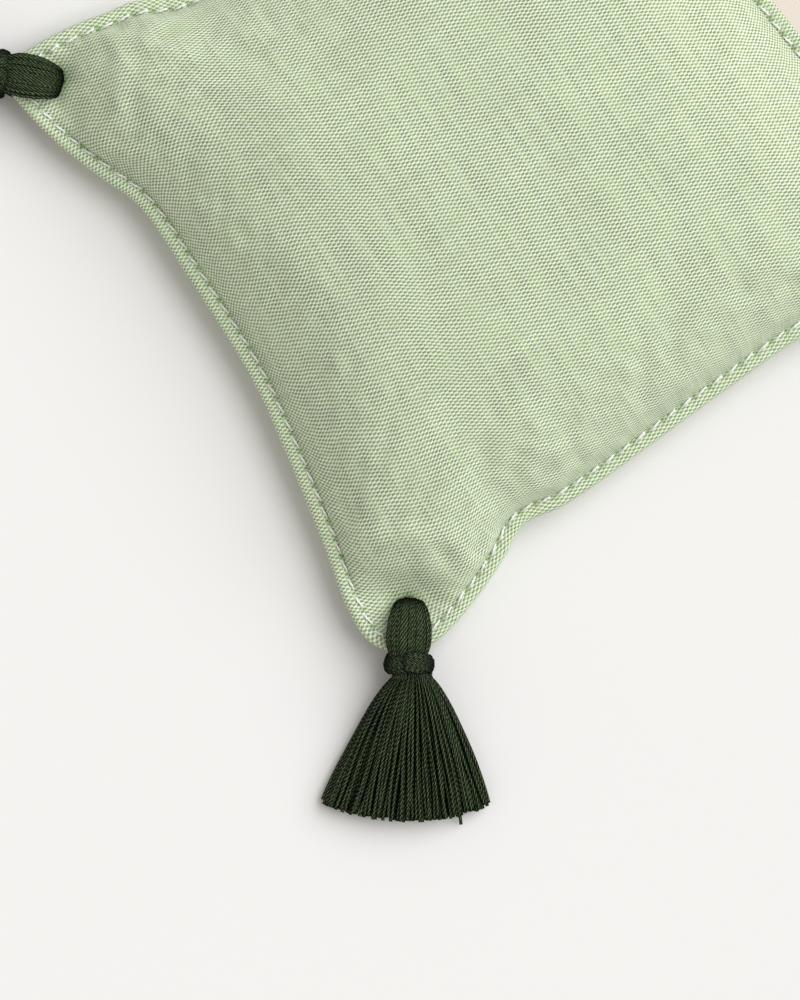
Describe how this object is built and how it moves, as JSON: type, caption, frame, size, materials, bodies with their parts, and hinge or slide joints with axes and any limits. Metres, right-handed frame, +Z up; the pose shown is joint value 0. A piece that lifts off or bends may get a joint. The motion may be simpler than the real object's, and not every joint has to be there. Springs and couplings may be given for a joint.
{
  "type": "lavender sachet",
  "caption": "Plump square cotton cushion filled with dried lavender, with topstitched edges, a bare edge tape and a swinging yarn tassel looped through each corner, for scenting drawers.",
  "frame": {"origin": "under the middle of the cushion, on the surface that it lies on", "axes": "+Z up out of the front panel; +X towards the edge that holds the label; +Y along that edge, towards its back corner"},
  "size_m": [0.143, 0.1458, 0.0195],
  "materials": {
    "chambray": "matte",
    "stitching": "matte",
    "dried_flowers": "matte",
    "tape": "matte",
    "tassel_yarn": "matte"
  },
  "bodies": {
    "cushion": {"front_panel": "chambray", "back_panel": "chambray", "lavender_filling": "dried_flowers", "needle_thread": "stitching", "bobbin_thread": "stitching", "edge_label": "tape"},
    "front_left_head": {"front_left_loop": "tassel_yarn", "front_left_tie": "tassel_yarn"},
    "front_left_tail": {"front_left_skirt": "tassel_yarn"},
    "front_right_head": {"front_right_loop": "tassel_yarn", "front_right_tie": "tassel_yarn"},
    "front_right_tail": {"front_right_skirt": "tassel_yarn"},
    "back_right_head": {"back_right_loop": "tassel_yarn", "back_right_tie": "tassel_yarn"},
    "back_right_tail": {"back_right_skirt": "tassel_yarn"},
    "back_left_head": {"back_left_loop": "tassel_yarn", "back_left_tie": "tassel_yarn"},
    "back_left_tail": {"back_left_skirt": "tassel_yarn"}
  },
  "joints": [
    {"name": "front_left_swing", "type": "hinge", "parent": "cushion", "child": "front_left_head", "pos_m": [-0.04369, -0.04369, 0.0046], "axis": [0, 0, 1], "range_deg": [-45, 45]},
    {"name": "front_left_flop", "type": "hinge", "parent": "front_left_head", "child": "front_left_tail", "pos_m": [-0.05171, -0.05433, 0.0046], "axis": [-0.7986, 0.6018, 0], "range_deg": [-85, 90]},
    {"name": "front_right_swing", "type": "hinge", "parent": "cushion", "child": "front_right_head", "pos_m": [0.04369, -0.04369, 0.0046], "axis": [0, 0, 1], "range_deg": [-45, 45]},
    {"name": "front_right_flop", "type": "hinge", "parent": "front_right_head", "child": "front_right_tail", "pos_m": [0.05311, -0.05311, 0.0046], "axis": [-0.7071, -0.7071, 0], "range_deg": [-85, 90]},
    {"name": "back_right_swing", "type": "hinge", "parent": "cushion", "child": "back_right_head", "pos_m": [0.04369, 0.04369, 0.0046], "axis": [0, 0, 1], "range_deg": [-45, 45]},
    {"name": "back_right_flop", "type": "hinge", "parent": "back_right_head", "child": "back_right_tail", "pos_m": [0.05171, 0.05433, 0.0046], "axis": [0.7986, -0.6018, 0], "range_deg": [-85, 90]},
    {"name": "back_left_swing", "type": "hinge", "parent": "cushion", "child": "back_left_head", "pos_m": [-0.04369, 0.04369, 0.0046], "axis": [0, 0, 1], "range_deg": [-45, 45]},
    {"name": "back_left_flop", "type": "hinge", "parent": "back_left_head", "child": "back_left_tail", "pos_m": [-0.05311, 0.05311, 0.0046], "axis": [0.7071, 0.7071, 0], "range_deg": [-85, 90]}
  ]
}
